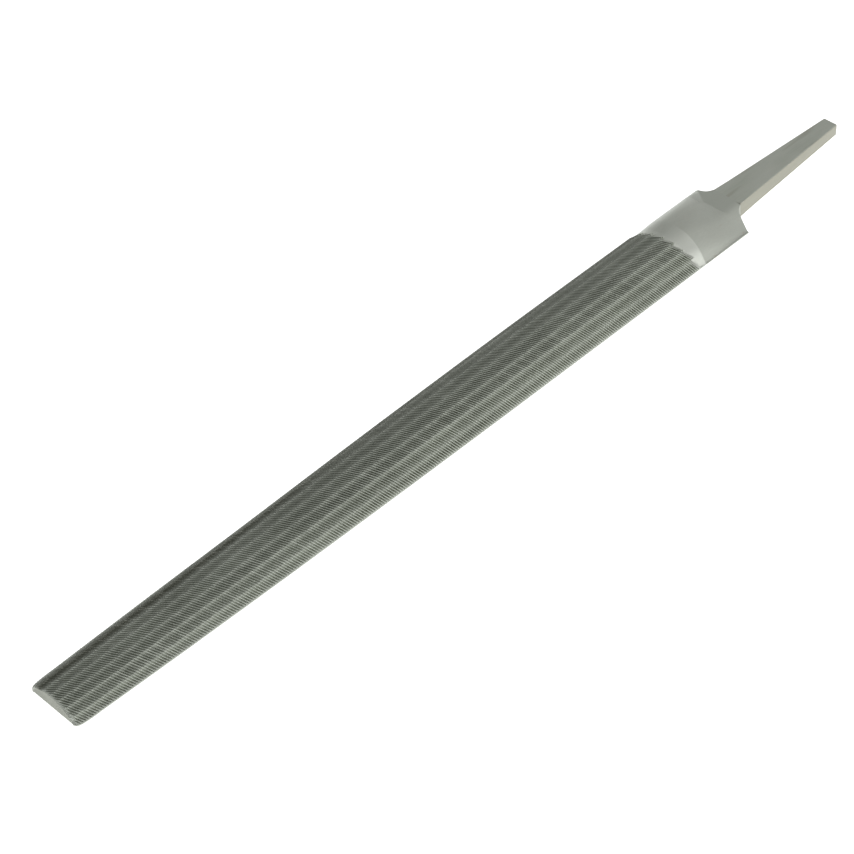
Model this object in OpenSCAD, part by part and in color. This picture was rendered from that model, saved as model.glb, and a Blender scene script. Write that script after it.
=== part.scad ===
// Half-round hand file: one steel forging in three zones, millimetres.
// The long axis is X, from the point (-X) to the tang (+X). The flat face lies on z = 0,
// the round face looks up, and the outline is symmetric about the plane y = 0. Only the heel
// differs from side to side: it is ground lower on the -Y side, next to the shoulder.

/* [Lengths] */
// Length of the blade from the point to the shoulder
blade_len = 250; // [230:1:270]
// Bare heel between the last teeth and the shoulder
heel_len = 21; // [18:1:30]
// Length of the tang beyond the shoulder
tang_len = 51; // [40:0.5:70]

/* [Blade] */
// Width at the point
point_w = 19.4; // [16:0.1:21]
// Width where the blade is widest
body_w = 23.6; // [22:0.1:26]
// Thickness at the point
point_t = 4.9; // [4:0.1:6]
// Thickness where the taper towards the point is half done
taper_t = 6.2; // [5.8:0.1:6.8]
// Thickness at the middle of the blade
middle_t = 8.3; // [7.6:0.1:8.7]
// Thickness of the parallel part, which runs to the last teeth
body_t = 9.0; // [8.8:0.1:10]
// Height of the thin land along each long edge
edge_land = 0.5; // [0.3:0.1:0.8]
// Length of the rounded corners at the point
corner_len = 3; // [1:0.5:5]
// Depth of the rounded corners at the point
corner_in = 1.2; // [0.5:0.1:2]

/* [Heel] */
// How far the bare steel lies below the tooth crests at the last teeth
heel_dip = 1.0; // [0.4:0.1:1.2]
// How far it lies below them further back
heel_relief = 0.5; // [0.2:0.1:0.8]
// Length of the forged slope down to the tang's top
slope_len = 12; // [8:0.5:15]
// Length of the flat at tang height in front of the shoulder
notch_len = 2.2; // [1:0.1:4]
// Length of the short ramp from the forged slope down to that flat
ramp_len = 1.5; // [0.8:0.1:3]
// Height of that ramp
ramp_step = 0.7; // [0.3:0.1:1.2]
// How far the round face falls away at the shoulder on the -Y side
near_drop = 2.6; // [0:0.1:3]
// Length over which it falls away on the -Y side
near_drop_len = 17; // [5:1:17]
// How far it falls away on the +Y side
far_drop = 0.4; // [0:0.1:2.5]
// Length over which it falls away on the +Y side
far_drop_len = 5; // [3:1:17]
// How far each shoulder slopes back between the edge and the tang
shoulder_slope = 1.9; // [1:0.1:3]
// Length of the fillet between the shoulder and the tang
root_fillet = 2.1; // [1:0.1:3]

/* [Tang] */
// Width of the tang at the shoulder
tang_root_w = 10.7; // [9:0.1:12]
// Width of the tang at its end
tang_end_w = 5.0; // [3:0.1:6]
// Height of the tang's top face at the shoulder
tang_top = 5.0; // [4.6:0.1:5.4]
// Drop of the top face over the tang's length
tang_top_drop = 0.35; // [0:0.05:1]
// Rise of the bottom face over the tang's length
tang_bottom_rise = 0.6; // [0.2:0.05:1]

/* [Hidden] */

total_len = blade_len + tang_len;
// The origin is midway along the whole file, so the point is half the length before it
point_x = -total_len / 2;
teeth_end = blade_len - heel_len;
root_x = blade_len + shoulder_slope + root_fillet;
flat_x = blade_len - notch_len;
ramp_x = flat_x - ramp_len;
fade_len = 7;
taper_station = 60;
parallel_station = 190;
width_power = 2.7;
slope_power = 1.6;
fillet_power = 8;
side_blend = 8;
arc_steps = 28;
ring_pitch = 6;

function clamp01(v) = min(1, max(0, v));
function smooth(v) = let (c = clamp01(v)) c * c * (3 - 2 * c);
function mix(a, b, v) = a + (b - a) * v;

// Half width in plan, without the shoulder: full from parallel_station back
function half_width(x) =
    let (u = clamp01(1 - x / parallel_station),
         v = clamp01(1 - x / corner_len))
    body_w / 2 - (body_w - point_w) / 2 * pow(u, width_power)
    - corner_in * (1 - sqrt(1 - v * v));

// Thickness over the tooth crests, one smooth curve through the four thicknesses
function hermite(a, b, slope_a, slope_b, len, v) =
    a * (2 * v * v * v - 3 * v * v + 1) + b * (3 * v * v - 2 * v * v * v)
    + len * slope_a * (v * v * v - 2 * v * v + v) + len * slope_b * (v * v * v - v * v);
function crest_height(x) =
    let (mid = blade_len / 2,
         slope_0 = (taper_t - point_t) / taper_station / 2,
         slope_1 = (middle_t - point_t) / mid,
         slope_2 = (body_t - taper_t) / (parallel_station - taper_station))
    x < taper_station
        ? hermite(point_t, taper_t, slope_0, slope_1, taper_station, x / taper_station)
    : x < mid
        ? hermite(taper_t, middle_t, slope_1, slope_2, mid - taper_station,
                  (x - taper_station) / (mid - taper_station))
    : x < parallel_station
        ? hermite(middle_t, body_t, slope_2, 0, parallel_station - mid,
                  (x - mid) / (parallel_station - mid))
    : body_t;

// The bare steel dips behind the teeth, then lies a little below the crest line
function relief(x) =
    x < teeth_end
        ? heel_dip * smooth((x - teeth_end + fade_len) / fade_len)
        : mix(heel_dip, heel_relief, smooth((x - teeth_end) / fade_len));

// Height of the round face over a point: a circular arc that ends on the edge lands
function arc_height(y, half, crown) =
    let (sag = crown - edge_land,
         r = (half * half + sag * sag) / (2 * sag))
    crown - r + sqrt(max(0, r * r - y * y));

// Height of the forged top of the heel: a slope, a short ramp, then the tang's own top face
function tang_top_at(x) = tang_top - tang_top_drop * clamp01((x - blade_len) / tang_len);
function heel_cap(x) =
    let (ramp_top = tang_top + ramp_step,
         slope = clamp01((x - ramp_x + slope_len) / slope_len))
    x < ramp_x ? mix(crest_height(x), ramp_top, pow(slope, slope_power))
    : x < flat_x ? mix(ramp_top, tang_top, (x - ramp_x) / ramp_len)
    : tang_top_at(x);

// How far the heel's round face has fallen below its plain section: a long taper on the -Y side,
// a short one on the +Y side, run together across the middle
function taper(x, drop, len) = drop * smooth((x - blade_len) / len + 1);
function heel_drop(x, y) =
    mix(taper(x, near_drop, near_drop_len), taper(x, far_drop, far_drop_len),
        smooth(0.5 + y / side_blend));
// The taper fades out towards both edges, so the section still ends on the edge lands
function edge_fade(y) = let (f = clamp01((body_w / 2 - abs(y)) / (0.3 * body_w / 2)))
    1 - (1 - f) * (1 - f);
function heel_height(x, y) =
    min(heel_cap(x),
        arc_height(y, body_w / 2, crest_height(x) - relief(x)) - heel_drop(x, y) * edge_fade(y));

// Plan of the shoulder: v runs from 0 at the edge to 1 at the tang
function shoulder_x(v) = blade_len + shoulder_slope * v + root_fillet * pow(v, fillet_power);
function shoulder_half(v) = mix(body_w / 2, tang_half(root_x), v);
function tang_half(x) = mix(tang_root_w, tang_end_w, clamp01((x - blade_len) / tang_len)) / 2;
function tang_bottom_at(x) = tang_bottom_rise * clamp01((x - blade_len) / tang_len);

// One cross-section: the flat face, then the top from one edge to the other
function ring(x, half, bottom, top_points) =
    concat([[x, half, bottom], [x, -half, bottom]], top_points);
function blade_ring(x) =
    let (half = half_width(x), crown = crest_height(x) - relief(x))
    ring(x, half, 0, [for (i = [0:arc_steps])
        let (y = -half * cos(180 * i / arc_steps)) [x, y, arc_height(y, half, crown)]]);
function heel_ring(x, half) =
    ring(x, half, tang_bottom_at(x), [for (i = [0:arc_steps])
        let (y = -half * cos(180 * i / arc_steps)) [x, y, heel_height(x, y)]]);

// A closed skin over a row of cross-sections that all have the same number of points
module skin(rings) {
    n = len(rings[0]);
    last = len(rings) - 1;
    points = [for (r = rings) each r];
    sides = [for (k = [0:last - 1]) for (i = [0:n - 1])
        let (a = k * n + i, b = k * n + (i + 1) % n) each [[a, b, b + n], [a, b + n, a + n]]];
    cap_a = [for (i = [n - 1:-1:0]) i];
    cap_b = [for (i = [0:n - 1]) last * n + i];
    polyhedron(points, concat(sides, [cap_a, cap_b]), convexity = 4);
}

module toothed_blade() {
    corner_x = [for (i = [0:4]) corner_len * i * i / 16];
    body_x = [for (x = [corner_len + ring_pitch:ring_pitch:teeth_end - fade_len - 2]) x];
    fade_x = [for (i = [0:3]) teeth_end - fade_len + fade_len * i / 3];
    color([0.40, 0.42, 0.36])
        translate([point_x, 0, 0])
            skin([for (x = concat(corner_x, body_x, fade_x)) blade_ring(x)]);
}

module heel() {
    body_x = [for (i = [0:5]) mix(teeth_end, ramp_x, i / 5)];
    shoulder_v = [0, 0.2, 0.4, 0.6, 0.75, 0.85, 0.92, 0.97, 1];
    color([0.66, 0.67, 0.63])
        translate([point_x, 0, 0])
            skin(concat(
                [for (x = concat(body_x, [flat_x, (flat_x + blade_len) / 2]))
                    heel_ring(x, body_w / 2)],
                [for (v = shoulder_v) heel_ring(shoulder_x(v), shoulder_half(v))]));
}

module tang() {
    end_x = total_len;
    color([0.55, 0.57, 0.53])
        translate([point_x, 0, 0])
            intersection() {
                linear_extrude(height = tang_top + 1)
                    polygon([[root_x, -tang_half(root_x)], [end_x, -tang_half(end_x)],
                             [end_x, tang_half(end_x)], [root_x, tang_half(root_x)]]);
                translate([0, body_w / 2, 0])
                    rotate([90, 0, 0])
                        linear_extrude(height = body_w)
                            polygon([[root_x, tang_bottom_at(root_x)],
                                     [end_x, tang_bottom_at(end_x)],
                                     [end_x, tang_top_at(end_x)],
                                     [root_x, tang_top_at(root_x)]]);
            }
}

toothed_blade();
heel();
tang();
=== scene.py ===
import math

import bmesh
import bpy
import numpy as np
from mathutils import Matrix, Vector

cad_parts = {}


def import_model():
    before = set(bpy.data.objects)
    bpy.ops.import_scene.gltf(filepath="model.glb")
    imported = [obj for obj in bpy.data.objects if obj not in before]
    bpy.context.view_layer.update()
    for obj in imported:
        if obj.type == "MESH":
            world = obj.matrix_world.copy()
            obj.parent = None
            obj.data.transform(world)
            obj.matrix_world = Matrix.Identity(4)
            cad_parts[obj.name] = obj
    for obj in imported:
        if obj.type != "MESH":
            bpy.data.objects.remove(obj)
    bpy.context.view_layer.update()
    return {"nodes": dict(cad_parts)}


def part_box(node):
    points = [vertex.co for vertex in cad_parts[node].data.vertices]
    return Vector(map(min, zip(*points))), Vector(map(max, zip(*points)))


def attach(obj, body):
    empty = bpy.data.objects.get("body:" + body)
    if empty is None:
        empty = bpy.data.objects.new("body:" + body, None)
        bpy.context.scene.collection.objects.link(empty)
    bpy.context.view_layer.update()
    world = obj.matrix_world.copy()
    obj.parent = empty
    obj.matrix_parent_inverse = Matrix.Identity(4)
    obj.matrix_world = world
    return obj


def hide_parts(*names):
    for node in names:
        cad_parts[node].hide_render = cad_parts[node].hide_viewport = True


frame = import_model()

# Half-round file. +X runs from the point to the tang and +Z out of the round face. The flat face is on
# z = 0. Lengths are in metres; MM turns a length in millimetres into metres.
MM = 0.001
rng = np.random.default_rng(20)

# ---------------------------------------------------------------- sizes read from the frame
blade_low, blade_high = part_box("toothed_blade")
_, heel_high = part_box("heel")
tang_low, tang_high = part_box("tang")
POINT_X = blade_low.x
BLADE_END = blade_high.x
ROOT_X = tang_low.x
END_X = tang_high.x
HALF = heel_high.y
TANG_TOP = tang_high.z

OUTER_HALF = HALF - 0.001 * MM    # curved edges stay this far out at most, just inside the CAD's box
EDGE_LAND = 0.5 * MM              # height of the thin wall along each long edge
CREST_END = BLADE_END - 7.5 * MM  # the CAD's crown is the line of the crests up to here
SAME_X = 0.002 * MM               # CAD points this close along X are in one cross-section


def smoothstep(v):
    v = np.clip(v, 0.0, 1.0)
    return v * v * (3 - 2 * v)


def rise(v, start, length):
    """A soft rise from 0 at start to 1 after length; a negative length rises towards lower v."""
    return smoothstep((v - start) / length)


def section_table(node):
    """Place along X, half width and crown height of each cross-section of a CAD node."""
    co = np.array([v.co for v in frame["nodes"][node].data.vertices])
    xs = np.unique(np.round(co[:, 0], 6))
    near = [np.abs(co[:, 0] - x) < SAME_X for x in xs]
    half = np.array([np.abs(co[m, 1]).max() for m in near])
    crown = np.array([co[m, 2].max() for m in near])
    return xs, half, crown


def smooth_curve(xs, vs):
    """A function that follows the points with a continuous slope."""
    slope = np.gradient(vs, xs)

    def at(x):
        x = np.clip(x, xs[0], xs[-1])
        i = np.clip(np.searchsorted(xs, x) - 1, 0, len(xs) - 2)
        span = xs[i + 1] - xs[i]
        u = (x - xs[i]) / span
        return (vs[i] * (2 * u**3 - 3 * u**2 + 1) + vs[i + 1] * (3 * u**2 - 2 * u**3)
                + span * slope[i] * (u**3 - 2 * u**2 + u) + span * slope[i + 1] * (u**3 - u**2))
    return at


table_x, table_half, table_crown = section_table("toothed_blade")
width_curve = smooth_curve(table_x, table_half)
crest_rows = table_x < CREST_END
crest_crown = smooth_curve(table_x[crest_rows], table_crown[crest_rows])


def half_width(x):
    """Half width of the blade at x."""
    return np.minimum(width_curve(x), OUTER_HALF)


# ---------------------------------------------------------------- mesh helpers
CUT_TOLERANCE = 0.0001 * MM
CAP_SHADE = 0.6               # painted shade of the flat faces that close the cut pieces


def new_object(name, verts, faces, material):
    mesh = bpy.data.meshes.new(name)
    mesh.from_pydata([tuple(v) for v in verts], [], faces)
    mesh.validate()
    obj = bpy.data.objects.new(name, mesh)
    bpy.context.scene.collection.objects.link(obj)
    mesh.materials.append(material)
    for poly in mesh.polygons:
        poly.use_smooth = True
    return obj


def add_values(obj, name, domain, values):
    """Stores one number per face or point of the mesh, for a material to read."""
    layer = obj.data.attributes.new(name, "FLOAT", domain)
    layer.data.foreach_set("value", np.array(values).reshape(-1).astype(np.float32))


def tube_faces(columns, rows):
    """Quads of a tube: grid[column][row], closed round the rows, open at both ends."""
    faces = []
    for j in range(columns - 1):
        here = j * rows
        there = here + rows
        for r in range(rows):
            s = (r + 1) % rows
            faces.append((here + r, here + s, there + s, there + r))
    return faces


def cut_ends(obj, low_x, high_x):
    """Trims the mesh to low_x..high_x (None leaves that end as it is) and closes both ends."""
    bm = bmesh.new()
    bm.from_mesh(obj.data)
    for x, normal in ((low_x, (-1, 0, 0)), (high_x, (1, 0, 0))):
        if x is not None:
            geom = bm.verts[:] + bm.edges[:] + bm.faces[:]
            bmesh.ops.bisect_plane(bm, geom=geom, plane_co=(x, 0, 0), plane_no=normal,
                                   dist=CUT_TOLERANCE, clear_outer=True)
    rims = [e for e in bm.edges if e.is_boundary]
    made = bmesh.ops.holes_fill(bm, edges=rims, sides=0)
    shade = bm.faces.layers.float.get("painted_shade")
    for face in made["faces"]:
        face.smooth = False
        if shade is not None:
            face[shade] = CAP_SHADE
        for edge in face.edges:
            edge.smooth = False
    bmesh.ops.recalc_face_normals(bm, faces=bm.faces[:])
    bm.to_mesh(obj.data)
    bm.free()


def mark_sharp(obj, degrees):
    """Keeps edges steeper than this crisp; the rest of the mesh is shaded smooth."""
    bm = bmesh.new()
    bm.from_mesh(obj.data)
    bmesh.ops.recalc_face_normals(bm, faces=bm.faces[:])
    limit = math.radians(degrees)
    for edge in bm.edges:
        if len(edge.link_faces) == 2 and edge.calc_face_angle(0) > limit:
            edge.smooth = False
    bm.to_mesh(obj.data)
    bm.free()


# ---------------------------------------------------------------- round face: layout
# t is a place across the round face, from 0 at the +Y edge to 1 at the -Y edge.
# v is a place across one course of teeth, from 0 at its +Y side to 1 at its -Y side.
PITCH = 0.795 * MM            # tooth to tooth along the file
SLANT = math.radians(31)      # of a tooth from straight across, on the unrolled face
COURSES = 8
LAST_START = 0.886            # t where the last course starts
COURSE_SHARE = 0.1305         # share of the arc that one course takes towards the point
SHARE_LOSS = 0.0135           # how much less it takes from mid-blade back
SHARE_LOSS_X = (60 * MM, 80 * MM)   # how far from the point this sets in, and over what length
LEAD_IN = 19                  # teeth whose line meets the +Y edge's line ahead of the point
END_FAR = BLADE_END - 9.3 * MM    # where the teeth of the farthest course would end at the +Y edge
END_STEP = 1.43 * MM              # how much earlier each next course stops, measured along a tooth line
CORNER_LEN = 4 * MM           # the rounded corners at the point, which the lean of the teeth ignores
# one tooth along the file: place in the pitch, share of the depth, and painted shade of the facet after it
TOOTH = [(0.0, 1.0, 0.30), (0.20, 0.03, 0.0), (0.33, 0.0, 0.45), (0.66, 0.52, 1.0)]
COURSE_ROWS = [0.0, 0.07, 0.19, 0.34, 0.5, 0.66, 0.81, 0.93]    # rows of points across a course
# below each edge row: the thin wall, the lip under it and an inner floor that closes the shell,
# as how far in and how high each row is, in millimetres
LIP = [(0.0, 0.42), (0.0, 0.07), (0.07, 0.0), (0.45, 0.0), (0.45, 0.30)]


def section(x):
    """Crown, radius and half angle of the round face at x."""
    half = half_width(x)
    crown = crest_crown(x)
    sag = crown - EDGE_LAND
    radius = (half**2 + sag**2) / (2 * sag)
    return crown, radius, np.arcsin(np.clip(half / radius, 0, 1))


def arc(x, t, depth):
    """Y and Z of a point that lies this deep below the line of the crests."""
    crown, radius, reach = section(x)
    angle = (1 - 2 * t) * reach
    r = radius - depth
    return r * np.sin(angle), crown - radius + r * np.cos(angle)


def lean(u, t):
    """How far a tooth has run towards the tang at t, from where it leaves the +Y edge at u."""
    _, radius, reach = section(np.maximum(u, POINT_X + CORNER_LEN))
    return 2 * radius * reach * t * math.tan(SLANT)


def course_share(x):
    """Share of the arc that one course takes at x."""
    return COURSE_SHARE - SHARE_LOSS * rise(x - POINT_X, *SHARE_LOSS_X)


def course_start(x, k):
    """Where course k starts on the arc; the courses swing a little across as they run back."""
    return LAST_START + course_share(x) * (k - COURSES + 1)


# ---------------------------------------------------------------- round face: depth and painted shade
# A pair that ends in _T, _V or _X says where a soft rise starts and over what length it runs: across the
# arc, across a course, or along the file from the point. A negative length runs the other way.
# A pair that starts with EDGE says how much of the arc a fall at both long edges takes, and to what share.
TOOTH_DEPTH = 0.29 * MM       # crest to gullet in the middle of a course
SIDE_CUT = 0.62               # share of that depth which is left by the sides of a course
EDGE_CUT = (0.03, 0.3)
UNEVEN = 0.06                 # how much the teeth differ, as a share of the depth
DEEPEST = 1.1                 # the most that a gullet may have of the depth
HOLLOW = 0.15 * MM            # how far the crests of a course lie below its two sides at mid-course
EDGE_HOLLOW = (0.05, 0.0)
FAR_CALM = 0.6                # share of the hollow that is lost on the far side near the point
FAR_CALM_T = (0.5, -0.2)
FAR_CALM_X = (90 * MM, -60 * MM)
POINT_BEVEL = 0.9 * MM        # the teeth fade out over this length at the point
BEVEL_DEPTH = 0.14 * MM       # how deep the plain face lies there
LAST_CUT = 1.1 * MM           # the last tooth turns into bare steel over this length
BARE_DEPTH = 0.45 * MM        # bare heel below the line of the crests
EDGE_BARE = (0.08, 0.0)
FAR_BARE = 0.35               # share of the bare steel's depth that is left by the far edge
FAR_BARE_T = (0.12, 0.25)
BAND_END = BLADE_END + 2.5 * MM   # the ground band behind the teeth stops here
BAND_LEN = 4.6 * MM
BAND_DEPTH = 0.68 * MM        # extra depth of the band next to the teeth
BAND_SOFT = 0.08              # share of the band's length that eases it into the heel
# painted shade on the cut steel: 0 has the colour of the crests, 1 the dark colour that stands for shade
# in the gullets
SIDE_SHADE = 0.52             # share of a facet's shade by the sides of a course
MID_SHADE = 0.40              # how much more of it there is where the course is darkest
SHADE_IN_V = (0.05, 0.33)     # where a course darkens, and where it lightens again
SHADE_OUT_V = (0.88, -0.5)
POINT_SHADE = 0.72            # share of a facet's shade near the point
POINT_SHADE_X = (50 * MM, 70 * MM)
FACET_MEAN = 0.55             # a whole tooth seen as one tone
FAR_EVEN = 0.55               # how close facets on the far side come to that one tone
FAR_EVEN_T = (0.52, -0.15)
# painted shade of the lip rows under the long edges
LIP_SHADE = 0.3
STRIPE_T = 0.245              # a stripe of painted shade runs along here
STRIPE_FAR_REACH = 0.10       # how far it fades towards the +Y edge
STRIPE_NEAR_REACH = 0.055     # and towards the -Y edge
STRIPE_SHADE = 0.8            # how far it takes the shade to 1 at its strongest
STRIPE_BACK = 0.45            # its strength towards the heel
STRIPE_FRONT = 0.95           # and towards the point
STRIPE_TURN = (0.55, -0.3)    # start and length of the change between them, in blade lengths


def edge_share(t, width, floor):
    """1 over most of the arc, falling to floor at both long edges."""
    return floor + (1 - floor) * np.sqrt(np.clip(np.minimum(t, 1 - t) / width, 0, 1))


def bare_depth(x, t):
    """Depth of the untoothed steel below the crest line: a ground band, then the plain heel."""
    band = np.clip((BAND_END - x) / BAND_LEN, 0, 1)
    soft = np.where(band < BAND_SOFT, band * band / (2 * BAND_SOFT), band - BAND_SOFT / 2)
    far = FAR_BARE + (1 - FAR_BARE) * rise(t, *FAR_BARE_T)
    return (BARE_DEPTH + BAND_DEPTH * soft) * edge_share(t, *EDGE_BARE) * far


def cut_depth(x, t, v, share):
    """Depth of the toothed steel below the crest line; share is 0 on a crest and 1 in a gullet."""
    bow = np.clip(4 * v * (1 - v), 0, 1)
    toothed = rise(x, POINT_X, POINT_BEVEL)
    calm = 1 - FAR_CALM * rise(t, *FAR_CALM_T) * rise(x - POINT_X, *FAR_CALM_X)
    hollow = HOLLOW * bow * calm * edge_share(t, *EDGE_HOLLOW)
    cut = TOOTH_DEPTH * (SIDE_CUT + (1 - SIDE_CUT) * bow**0.5) * edge_share(t, *EDGE_CUT) * toothed
    return hollow + cut * share + BEVEL_DEPTH * (1 - toothed)


def stripe_shade(x, t):
    """A stripe of painted shade along the far side, strongest towards the point."""
    along = (x - POINT_X) / (BLADE_END - POINT_X)
    reach = np.where(t < STRIPE_T, STRIPE_FAR_REACH, STRIPE_NEAR_REACH)
    strength = STRIPE_BACK + (STRIPE_FRONT - STRIPE_BACK) * rise(along, *STRIPE_TURN)
    return strength * np.exp(-((t - STRIPE_T) / reach) ** 2)


def cut_shade(x, t, v, facet):
    """Painted shade of a facet: light by both sides of a course, darkest before its middle."""
    facet = facet + (FACET_MEAN - facet) * FAR_EVEN * rise(t, *FAR_EVEN_T)
    across = SIDE_SHADE + MID_SHADE * rise(v, *SHADE_IN_V) * rise(v, *SHADE_OUT_V)
    along = POINT_SHADE + (1 - POINT_SHADE) * rise(x - POINT_X, *POINT_SHADE_X)
    tone = facet * across * rise(x, POINT_X, POINT_BEVEL) * along
    return tone + (1 - tone) * STRIPE_SHADE * stripe_shade(x, t)


# ---------------------------------------------------------------- round face: mesh
def tooth_columns():
    """For each column: place at the +Y edge, share of the depth, painted shade after it and tooth number.
    """
    count = int((BLADE_END - POINT_X) / PITCH) + 1
    columns = [(POINT_X + (n + place) * PITCH, share, shade, n + LEAD_IN)
               for n in range(-LEAD_IN, count) for place, share, shade in TOOTH]
    return [np.array(part) for part in zip(*columns)]


def course_rows(k, columns, uneven):
    """Rows of points along course k: x, y, z, painted shade, and whether the steel is bare."""
    u, share, facet, tooth = columns
    order = np.arange(len(u))
    last_tooth = round((END_FAR - END_STEP * k - POINT_X) / PITCH) + LEAD_IN
    stop = len(TOOTH) * last_tooth
    share = np.clip(share + uneven[tooth] * (share > 0), 0, DEEPEST)
    share = np.where(order > stop, 1.0, share)
    start = course_start(u, k)
    width = course_share(u)
    last_course = k == COURSES - 1
    low_v = -start / width if k == 0 else np.zeros_like(u)
    high_v = (1 - start) / width if last_course else np.ones_like(u)
    rows = []
    for place in COURSE_ROWS + ([1.0] if last_course else []):
        v = low_v + (high_v - low_v) * place
        t = np.clip(start + width * v, 0, 1)
        x = u + lean(u, t)
        depth = cut_depth(x, t, v, share)
        depth = depth + (bare_depth(x, t) - depth) * rise(x, x[stop], LAST_CUT)
        y, z = arc(x, t, depth)
        rows.append((x, y, z, cut_shade(x, t, v, facet), order >= stop))
    return rows


def lip_rows(edge_row, inward, steps):
    """Rows below one long edge: (x, y, z, shade, bare), with x and bare as in the edge's own row."""
    x, y, _, _, bare = edge_row
    return [(x, y + inward * inset * MM, np.full_like(x, height * MM), np.full_like(x, LIP_SHADE), bare)
            for inset, height in steps]


def toothed_grid():
    """Columns follow the teeth and rows follow the courses. Returns points, painted shade and bare mask.
    """
    columns = tooth_columns()
    teeth = len(columns[0]) // len(TOOTH)
    uneven = rng.normal(0, UNEVEN, (COURSES, teeth))
    rows = [row for k in range(COURSES) for row in course_rows(k, columns, uneven[k])]
    rows = rows + lip_rows(rows[-1], 1, LIP) + lip_rows(rows[0], -1, LIP[::-1])
    xs, ys, zs, shade, bare = (np.array(part).T for part in zip(*rows))
    return np.stack([xs, ys, zs], axis=-1), shade[:-1], bare[:-1]


def keep_part(obj, want_bare):
    """Deletes the toothed faces, or the bare ones, so that each becomes a piece of its own."""
    bm = bmesh.new()
    bm.from_mesh(obj.data)
    layer = bm.faces.layers.float["bare"]
    gone = [f for f in bm.faces if (f[layer] > 0.5) != want_bare]
    bmesh.ops.delete(bm, geom=gone, context="FACES")
    bm.to_mesh(obj.data)
    bm.free()


def round_face(cut_material, bare_material):
    """The toothed part and the ground band behind it, which meet along the stepped end of the teeth."""
    points, shade, bare = toothed_grid()
    columns, rows = points.shape[:2]
    pieces = []
    for name, material, want_bare, low_x, high_x, sharp_degrees in (
            ("round_cut_face", cut_material, False, POINT_X, None, 28),
            ("ground_band", bare_material, True, None, BLADE_END, 50)):
        obj = new_object(name, points.reshape(-1, 3), tube_faces(columns, rows), material)
        # painted shade per face, read by the cut steel's colour
        add_values(obj, "painted_shade", "FACE", shade)
        add_values(obj, "bare", "FACE", bare)
        keep_part(obj, want_bare)
        cut_ends(obj, low_x, high_x)
        mark_sharp(obj, sharp_degrees)
        pieces.append(obj)
    return pieces


# ---------------------------------------------------------------- flat face, double cut
FLAT_PITCH = 0.82 * MM
FLAT_SLANT = math.radians(22)
FLAT_TOOTH = [(0.0, 0.8), (0.35, 0.0), (0.65, 0.36)]    # place in the pitch and share of the depth
CROSS_PITCH = 0.95 * MM
CROSS_SLANT = math.radians(-42)
CROSS_STEEPNESS = 2.6         # how many depths a cross cut's side would fall in one cross pitch
FLAT_DEPTH = 0.28 * MM
FLAT_INSET = 0.22 * MM        # from the long edges
FLAT_BARE_LEN = 4 * MM        # plain length before the heel
FLAT_BARE_DEPTH = 0.1 * MM
FLAT_RIM = 0.08 * MM          # depth of the flat face along both long edges
FLAT_RIM_SHARE = 0.03         # it runs into that over this share of the half width
FLAT_TOP = 0.42 * MM          # upper side of the plate that carries the teeth
FLAT_ROWS = 86
FLAT_LEAD = 14 * MM           # the slanted columns start and end this far beyond the blade
END_GAP = 0.05 * MM           # the plate stops this far short of both blade ends


def flat_depth(x, y, share):
    """How far the flat face lies above z = 0: slanted teeth, crossed by a second row of cuts."""
    line = (x - y * math.tan(CROSS_SLANT)) / CROSS_PITCH
    cross = line - np.floor(line)
    cross_cut = np.clip(1 - CROSS_STEEPNESS * np.minimum(cross, 1 - cross), 0, 1)
    depth = FLAT_DEPTH * np.maximum(share, cross_cut)
    return np.where(x > BLADE_END - FLAT_BARE_LEN, FLAT_BARE_DEPTH, depth)


def flat_face(material):
    first_x = POINT_X - FLAT_LEAD
    count = int((BLADE_END - POINT_X + 2 * FLAT_LEAD) / FLAT_PITCH)
    u = np.array([first_x + (n + place) * FLAT_PITCH for n in range(count) for place, _ in FLAT_TOOTH])
    share = np.array([depth for _ in range(count) for _, depth in FLAT_TOOTH])
    rows = []
    for s in np.linspace(-1, 1, FLAT_ROWS):
        x = u + s * HALF * math.tan(FLAT_SLANT)
        y = s * (half_width(x) - FLAT_INSET)
        edge = np.clip((1 - abs(s)) / FLAT_RIM_SHARE, 0, 1)
        rows.append((x, y, flat_depth(x, y, share) * edge + FLAT_RIM * (1 - edge)))
    for edge_row in (rows[-1], rows[0]):
        x, y, _ = edge_row
        rows.append((x, y, np.full_like(x, FLAT_TOP)))
    points = np.array(rows).transpose(2, 0, 1)
    columns, row_count = points.shape[:2]
    obj = new_object("flat_cut_face", points.reshape(-1, 3), tube_faces(columns, row_count), material)
    cut_ends(obj, POINT_X + END_GAP, BLADE_END - END_GAP)
    return obj


# ---------------------------------------------------------------- heel
NOTCH_X = BLADE_END + 18.8 * MM     # where the tang's top face starts
NOTCH_SWEEP = 2.4 * MM              # how far the notch's front edge runs back on the +Y side
SWEEP_FROM = 3 * MM                 # it does so from this Y, over this width
SWEEP_WIDTH = 4.6 * MM
SWEEP_POWER = 1.3
NOTCH_ROUND = 0.9 * MM              # how far it turns back towards its -Y corner
ROUND_FROM = 2.8 * MM               # it does so from this far on the -Y side, over this width
ROUND_WIDTH = 2.4 * MM
ROUND_MOST = 1.4                    # and it goes on for this many of those widths at most
NOTCH_EASE = 0.8 * MM               # the forged steel's colour sets in over this length
SHOULDER_X = BLADE_END + 21 * MM    # the shoulder at the edges
SHOULDER_RUN = 0.475                # share of the shoulder that runs on evenly
FILLET_POWER = 8                    # how tightly the rest of it turns into the tang
RAMP_LEN = 1.5 * MM
RAMP_TOP = TANG_TOP + 0.65 * MM
SLOPE_LEN = 13 * MM                 # forged slope ahead of the ramp
SLOPE_POWER = 1.4                   # it steepens towards the ramp
CREASE = 0.70 * MM                  # rounding of the creases by the notch
CREASE_LEN = 5 * MM                 # over this length ahead of it
SLOPE_BLEND = 1.8 * MM              # rounding between the forged slope and the round face
NEAR_DROP = 2.6 * MM                # how far the round face falls away at the shoulder, -Y side
NEAR_DROP_LEN = 17 * MM
FAR_DROP = 0.1 * MM                 # and +Y side
FAR_DROP_LEN = 5 * MM
SIDE_BLEND = 8 * MM                 # width over which the two sides run together
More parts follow.
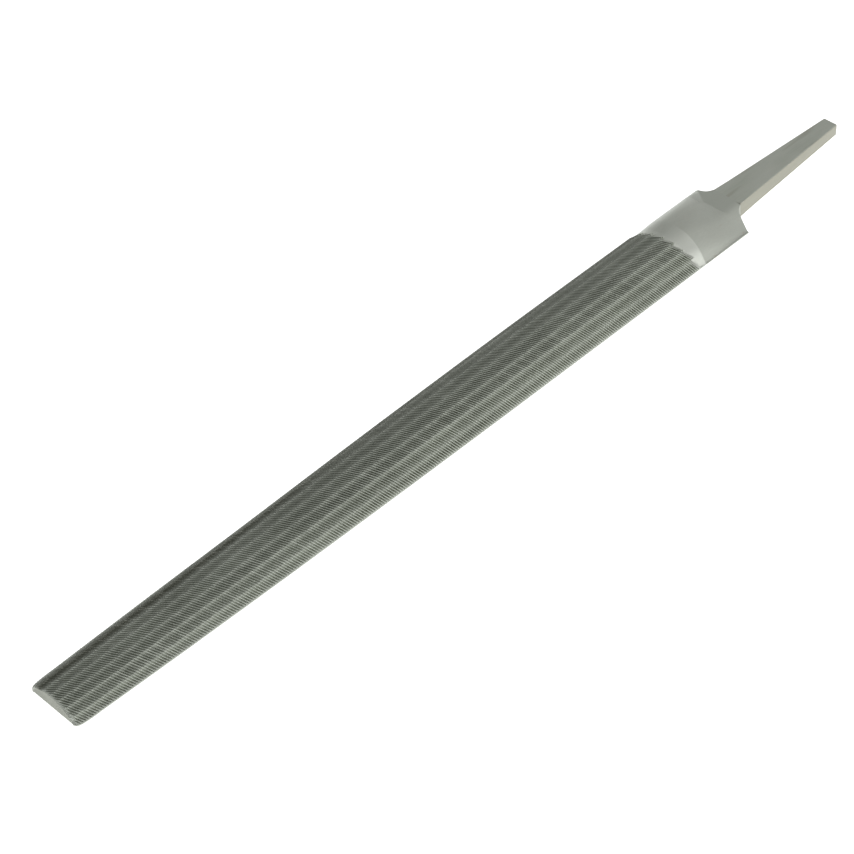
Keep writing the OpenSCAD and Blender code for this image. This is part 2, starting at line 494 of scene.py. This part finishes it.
EDGE_FADE = 0.30 * HALF             # the drop fades out over this width, so the edge land stays
LOWEST_TOP = 0.6 * EDGE_LAND        # the round face never gets lower than this
BODY_COLUMNS = 90
SHOULDER_COLUMNS = 34
HEEL_ROWS = 120
HEEL_BEVEL = 0.08 * MM              # along the lower long edges


def soft_min(a, b, size):
    """The lower of a and b, its crease rounded over size; and 1 where that is a, 0 where it is b."""
    h = np.clip(0.5 + 0.5 * (b - a) / size, 0, 1)
    return b * (1 - h) + a * h - size * h * (1 - h), h


def tang_corners():
    """Half width, top and bottom of the tang at the shoulder and at its end."""
    co = np.array([v.co for v in frame["nodes"]["tang"].data.vertices])
    out = []
    for x in (ROOT_X, END_X):
        at = co[np.abs(co[:, 0] - x) < SAME_X]
        out.append((np.abs(at[:, 1]).max(), at[:, 2].max(), at[:, 2].min()))
    return np.array(out)


TANG_SIZES = tang_corners()


def tang_at(x):
    """Half width, top and bottom of the tang at x."""
    along = (x - ROOT_X) / (END_X - ROOT_X)
    return TANG_SIZES[0] + (TANG_SIZES[1] - TANG_SIZES[0]) * along


def heel_round(x, y, crown):
    """Height of the heel's round face, which falls away towards the shoulder."""
    sag = crown - EDGE_LAND
    radius = (HALF**2 + sag**2) / (2 * sag)
    reach = np.arcsin(HALF / radius)
    t = np.clip(0.5 - np.arcsin(np.clip(y / radius, -1, 1)) / (2 * reach), 0, 1)
    r = radius - bare_depth(x, t)
    near = NEAR_DROP * rise(x, SHOULDER_X - NEAR_DROP_LEN, NEAR_DROP_LEN)
    far = FAR_DROP * rise(x, SHOULDER_X - FAR_DROP_LEN, FAR_DROP_LEN)
    drop = near + (far - near) * rise(y, -SIDE_BLEND / 2, SIDE_BLEND)
    fade = np.clip((HALF - np.abs(y)) / EDGE_FADE, 0, 1)
    drop = drop * (1 - (1 - fade) ** 2)
    return np.maximum(crown - radius + np.sqrt(np.maximum(r * r - y * y, 0)) - drop, LOWEST_TOP)


def notch_front(y):
    """Where the tang's top face starts: later on the +Y side and, a little, at the -Y corner."""
    sweep = NOTCH_SWEEP * np.clip((y - SWEEP_FROM) / SWEEP_WIDTH, 0, 1) ** SWEEP_POWER
    turn = NOTCH_ROUND * np.clip((-y - ROUND_FROM) / ROUND_WIDTH, 0, ROUND_MOST) ** 2
    return NOTCH_X + sweep + turn


def forged_top(x, notch, crown):
    """Height of the forged faces: a slope down from the crown, a short ramp, then the tang's top."""
    slope = np.clip((x - NOTCH_X + RAMP_LEN + SLOPE_LEN) / SLOPE_LEN, 0, 1)
    ramp = np.clip((x - notch + RAMP_LEN) / RAMP_LEN, 0, 1)
    sloping = crown + (RAMP_TOP - crown) * slope**SLOPE_POWER
    return np.where(slope >= 1, RAMP_TOP + (TANG_TOP - RAMP_TOP) * ramp, sloping)


def heel_top(x, y):
    """Height of the heel's top over a point in plan, and how much of it is the forged flat."""
    crown = crest_crown(x)
    notch = notch_front(y)
    blend = SLOPE_BLEND + (CREASE - SLOPE_BLEND) * rise(x, NOTCH_X - CREASE_LEN, CREASE_LEN)
    height, is_round = soft_min(heel_round(x, y, crown), forged_top(x, notch, crown), blend)
    return height, (1 - is_round) * rise(x, notch - NOTCH_EASE / 2, NOTCH_EASE)


def heel(material):
    body = np.linspace(BLADE_END, SHOULDER_X, BODY_COLUMNS)
    v = np.linspace(0, 1, SHOULDER_COLUMNS)[1:]
    curve = SHOULDER_RUN * v + (1 - SHOULDER_RUN) * v**FILLET_POWER
    xs = np.concatenate([body, SHOULDER_X + (ROOT_X - SHOULDER_X) * curve])
    halves = np.concatenate([np.full(len(body), HALF), HALF + (TANG_SIZES[0][0] - HALF) * v])
    fan = -np.cos(np.linspace(0, math.pi, HEEL_ROWS))
    verts, forged = [], []
    for x, half in zip(xs, halves):
        y = min(half, OUTER_HALF) * fan
        z, flat = heel_top(np.full(HEEL_ROWS, x), y)
        bottom = max(0.0, tang_at(x)[2]) if x > SHOULDER_X else 0.0
        inner = half - HEEL_BEVEL
        above = bottom + HEEL_BEVEL
        verts += [(x, yy, zz) for yy, zz in zip(y, z)]
        verts += [(x, half, above), (x, inner, bottom), (x, -inner, bottom), (x, -half, above)]
        forged += list(flat) + [0.0] * 4
    obj = new_object("heel_bare", verts, tube_faces(len(xs), HEEL_ROWS + 4), material)
    add_values(obj, "forged", "POINT", forged)
    cut_ends(obj, None, None)
    mark_sharp(obj, degrees=32)
    return obj


# ---------------------------------------------------------------- tang
TANG_CORNER = 0.30 * MM       # rounding of its long edges and of its end
ROOT_CORNER_SHARE = 0.25      # how much of that rounding there is at the root
CORNER_GROWTH = 6 * MM        # and the length over which it grows
END_ROUND_FROM = 0.3          # angle of the first ring of the end's rounding, in radians
UNDER_INSET = 0.25 * MM       # how much narrower the underside is at the end, on each side
TANG_COLUMNS = 70
CORNER_POINTS = 5             # points round each corner
UPRIGHT = 0.8                 # a face whose normal has this much Y is part of a side
SIDE_PAINTED_SHADE = 0.85              # how far the sides take a darker colour, which is painted shade


def tang(material):
    flat_end = END_X - TANG_CORNER
    rounding = 1 - np.sin(np.linspace(END_ROUND_FROM, math.pi / 2, CORNER_POINTS))
    xs = np.concatenate([np.linspace(ROOT_X, flat_end, TANG_COLUMNS), END_X - TANG_CORNER * rounding])
    verts = []
    for x in xs:
        half, top, bottom = tang_at(x)
        back = max(0.0, (x - flat_end) / TANG_CORNER)
        inset = TANG_CORNER * (1 - math.sqrt(max(0.0, 1 - back**2)))
        half = half - inset
        under = half - UNDER_INSET * (x - ROOT_X) / (END_X - ROOT_X)
        grown = min(1.0, (x - ROOT_X) / CORNER_GROWTH)
        r = TANG_CORNER * (ROOT_CORNER_SHARE + (1 - ROOT_CORNER_SHARE) * grown)
        high = top - inset - r
        low = bottom + inset + r
        for cy, cz, start in ((half - r, high, 0), (r - half, high, 90), (r - under, low, 180),
                              (under - r, low, 270)):
            for step in range(CORNER_POINTS):
                a = math.radians(start + 90 * step / (CORNER_POINTS - 1))
                verts.append((x, cy + r * math.cos(a), cz + r * math.sin(a)))
    obj = new_object("tang_spike", verts, tube_faces(len(xs), 4 * CORNER_POINTS), material)
    is_side = np.array([abs(p.normal.y) > UPRIGHT for p in obj.data.polygons])
    # painted shade on the sides, chosen by which way each face points
    add_values(obj, "side", "FACE", is_side * SIDE_PAINTED_SHADE)
    cut_ends(obj, None, None)
    mark_sharp(obj, degrees=40)
    return obj


# ---------------------------------------------------------------- materials
class Nodes:
    """Short names for building a node material."""

    def __init__(self, name):
        self.material = bpy.data.materials.new(name)
        self.material.use_nodes = True
        self.tree = self.material.node_tree
        self.shader = self.tree.nodes["Principled BSDF"]
        self.object = self.add("ShaderNodeTexCoord", {}).outputs["Object"]

    def set(self, socket, value):
        """Links the value to the socket if it is an output, or else writes it into the socket."""
        if isinstance(value, bpy.types.NodeSocket):
            self.tree.links.new(value, socket)
        else:
            socket.default_value = value

    def add(self, kind, inputs):
        node = self.tree.nodes.new(kind)
        for key, value in inputs.items():
            self.set(node.inputs[key], value)
        return node

    def shade(self, inputs):
        """Sets inputs of the material's own shader."""
        for key, value in inputs.items():
            self.set(self.shader.inputs[key], value)

    def stretch(self, x, y, z, offset=(0, 0, 0)):
        node = self.add("ShaderNodeMapping", {"Vector": self.object, "Scale": (x, y, z),
                                              "Location": offset})
        return node.outputs["Vector"]

    def noise(self, vector, detail):
        node = self.add("ShaderNodeTexNoise", {"Vector": vector, "Scale": 1.0, "Detail": detail,
                                               "Roughness": 0.55})
        return node.outputs["Fac"]

    def attribute(self, name):
        node = self.add("ShaderNodeAttribute", {})
        node.attribute_name = name
        return node.outputs["Fac"]

    def ramp(self, value, low, high, out_low=0.0, out_high=1.0):
        node = self.add("ShaderNodeMapRange", {"Value": value, "From Min": low, "From Max": high,
                                               "To Min": out_low, "To Max": out_high})
        return node.outputs["Result"]

    def mix(self, share, a, b):
        """Colour a, or b where share is 1. A Mix node has its colours in inputs 6 and 7, output 2."""
        node = self.tree.nodes.new("ShaderNodeMix")
        node.data_type = "RGBA"
        for socket, value in ((0, share), (6, a), (7, b)):
            self.set(node.inputs[socket], value)
        return node.outputs[2]

    def math(self, operation, a, b):
        node = self.add("ShaderNodeMath", {0: a, 1: b})
        node.operation = operation
        return node.outputs[0]

    def bump(self, height, strength, distance):
        node = self.add("ShaderNodeBump", {"Height": height, "Strength": strength, "Distance": distance})
        return node.outputs["Normal"]


def cut_steel():
    """Bright crests and a dark colour for painted shade in the gullets, across the courses and along the
    far side, with soft clouds and fine lengthwise streaks in both.
    """
    n = Nodes("cut_steel")
    cloud = n.noise(n.stretch(60, 220, 220), 5)
    fine = n.noise(n.stretch(700, 2500, 2500), 3)
    crest = n.mix(n.ramp(cloud, 0.3, 0.7), (0.42, 0.445, 0.395, 1), (0.50, 0.53, 0.475, 1))
    crest = n.mix(n.ramp(fine, 0.45, 0.75, 0, 0.5), crest, (0.64, 0.66, 0.60, 1))
    # deep is the painted shade colour; the per-face shade attribute mixes it over the crest colour
    deep = n.mix(n.ramp(cloud, 0.3, 0.7), (0.085, 0.09, 0.062, 1), (0.135, 0.14, 0.102, 1))
    n.shade({"Base Color": n.mix(n.attribute("painted_shade"), crest, deep), "Metallic": 1.0,
             "Roughness": n.ramp(fine, 0.2, 0.8, 0.34, 0.50), "Normal": n.bump(fine, 0.2, 0.03 * MM)})
    return n.material


def bare_steel():
    """Ground steel: lengthwise grain, a paler band behind the teeth that is ground steel with a painted
    highlight on its -Y side, a painted highlight along the far (+Y) edge, faint stains.
    """
    n = Nodes("bare_steel")
    place = n.add("ShaderNodeSeparateXYZ", {"Vector": n.object}).outputs
    cloud = n.noise(n.stretch(90, 160, 160), 5)
    grain = n.noise(n.stretch(300, 6000, 6000), 3)
    spots = n.noise(n.stretch(260, 420, 420, (0.3, 0.1, 0.2)), 3)
    forged = n.attribute("forged")
    in_band = n.ramp(place["X"], BAND_END - 0.15 * MM, BAND_END + 0.15 * MM, 1.0, 0.0)
    # the band is lightened only on the -Y side: ground steel, with a painted highlight
    near = n.ramp(place["Y"], -7 * MM, 1 * MM, 1.0, 0.0)
    # a painted highlight along the +Y edge
    far = n.ramp(place["Y"], 4 * MM, 9 * MM)
    band = n.math("MULTIPLY", in_band, near)
    base = n.mix(n.ramp(cloud, 0.3, 0.7), (0.43, 0.445, 0.40, 1), (0.48, 0.50, 0.455, 1))
    base = n.mix(n.ramp(grain, 0.4, 0.7, 0, 0.25), base, (0.56, 0.575, 0.53, 1))
    base = n.mix(n.math("MULTIPLY", band, 0.7), base, (0.58, 0.60, 0.55, 1))
    base = n.mix(n.ramp(spots, 0.66, 0.74, 0, 0.35), base, (0.42, 0.38, 0.31, 1))
    base = n.mix(n.math("MULTIPLY", far, 0.6), base, (0.62, 0.64, 0.60, 1))
    base = n.mix(forged, base, (0.40, 0.42, 0.375, 1))
    smooth_bare = n.math("MULTIPLY", n.math("MAXIMUM", band, far), 0.16)
    smooth_forged = n.math("MULTIPLY", forged, 0.15)
    rough = n.math("SUBTRACT", n.ramp(cloud, 0.3, 0.7, 0.58, 0.66),
                   n.math("MAXIMUM", smooth_bare, smooth_forged))
    n.shade({"Base Color": base, "Metallic": 1.0, "Roughness": rough,
             "Normal": n.bump(grain, 0.10, 0.03 * MM)})
    return n.material


def tang_steel():
    """Softer forged steel: duller, with a brownish streak and painted shade on the sides."""
    n = Nodes("tang_steel")
    cloud = n.noise(n.stretch(70, 200, 200), 6)
    grain = n.noise(n.stretch(160, 3500, 3500), 4)
    streak = n.noise(n.stretch(45, 420, 420, (0.2, 0.4, 0.1)), 3)
    base = n.mix(n.ramp(cloud, 0.3, 0.7), (0.37, 0.395, 0.345, 1), (0.43, 0.45, 0.405, 1))
    base = n.mix(n.ramp(grain, 0.35, 0.7, 0, 0.3), base, (0.50, 0.505, 0.44, 1))
    base = n.mix(n.ramp(streak, 0.56, 0.68, 0, 0.5), base, (0.30, 0.30, 0.245, 1))
    # painted shade on the tang's sides
    base = n.mix(n.attribute("side"), base, (0.335, 0.33, 0.275, 1))
    n.shade({"Base Color": base, "Metallic": 1.0, "Roughness": n.ramp(cloud, 0.3, 0.7, 0.42, 0.52),
             "Normal": n.bump(grain, 0.2, 0.04 * MM)})
    return n.material


def floor_material():
    """A white sheet that is lit enough to lose its edges in the picture."""
    n = Nodes("pale_floor")
    cloud = n.noise(n.stretch(3, 3, 3), 2)
    n.shade({"Base Color": n.mix(cloud, (0.90, 0.90, 0.90, 1), (0.93, 0.93, 0.93, 1)), "Roughness": 0.9,
             "Emission Color": (1, 1, 1, 1), "Emission Strength": 0.85})
    return n.material


# ---------------------------------------------------------------- build
cut = cut_steel()
bare = bare_steel()
round_cut, band_piece = round_face(cut, bare)
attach(round_cut, "root")
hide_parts("toothed_blade")

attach(band_piece, "root")

flat_cut = flat_face(cut)
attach(flat_cut, "root")

heel_piece = heel(bare)
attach(heel_piece, "root")
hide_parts("heel")

tang_piece = tang(tang_steel())
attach(tang_piece, "root")
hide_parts("tang")


# ---------------------------------------------------------------- stage
def floor():
    size = 3.0
    steps = 12
    below = 0.02 * MM
    line = np.linspace(-size, size, steps)
    verts = [(x, y, -below) for x in line for y in line]
    faces = [(i * steps + j, (i + 1) * steps + j, (i + 1) * steps + j + 1, i * steps + j + 1)
             for i in range(steps - 1) for j in range(steps - 1)]
    obj = new_object("floor", verts, faces, floor_material())


def area_light(name, place, target, size, power):
    data = bpy.data.lights.new(name, "AREA")
    data.shape = "RECTANGLE"
    data.size, data.size_y = size
    data.energy = power
    obj = bpy.data.objects.new(name, data)
    bpy.context.scene.collection.objects.link(obj)
    obj.location = place
    obj.rotation_euler = (Vector(target) - Vector(place)).to_track_quat("-Z", "Y").to_euler()


def world(strength):
    w = bpy.data.worlds.new("studio")
    bpy.context.scene.world = w
    w.use_nodes = True
    background = w.node_tree.nodes["Background"].inputs
    background["Color"].default_value = (1, 1, 1, 1)
    background["Strength"].default_value = strength


def camera():
    """The photo's view, fitted to the outline of the file."""
    azimuth = math.radians(-129.33)
    elevation = math.radians(43.67)
    roll = math.radians(6.955)
    distance = 723.57 * MM
    target = Vector((-18.60 * MM, 1.31 * MM, 0.11 * MM))
    away = Vector((math.cos(elevation) * math.cos(azimuth), math.cos(elevation) * math.sin(azimuth),
                   math.sin(elevation)))
    data = bpy.data.cameras.new("camera")
    data.sensor_width = 36
    data.lens = 111.79
    data.clip_start = 0.01
    obj = bpy.data.objects.new("camera", data)
    bpy.context.scene.collection.objects.link(obj)
    turn = (-away).to_track_quat("-Z", "Y").to_matrix().to_4x4() @ Matrix.Rotation(-roll, 4, "Z")
    obj.matrix_world = Matrix.Translation(target + away * distance) @ turn
    bpy.context.scene.camera = obj


floor()
area_light("softbox", (0.25, 0.35, 1.2), (0.25, 0.35, 0), (2.6, 2.6), 9.0)
area_light("front", (0.05, -1.30, 0.40), (0, 0, 0.05), (2.0, 0.9), 7.6)
area_light("side", (1.04, -0.38, 0.86), (0.1, 0, 0), (1.3, 1.2), 3.0)
area_light("back", (1.0, 1.1, 0.35), (0, 0, 0.05), (1.6, 0.6), 2.4)
world(0.22)
camera()
bpy.context.scene.view_settings.view_transform = "Standard"
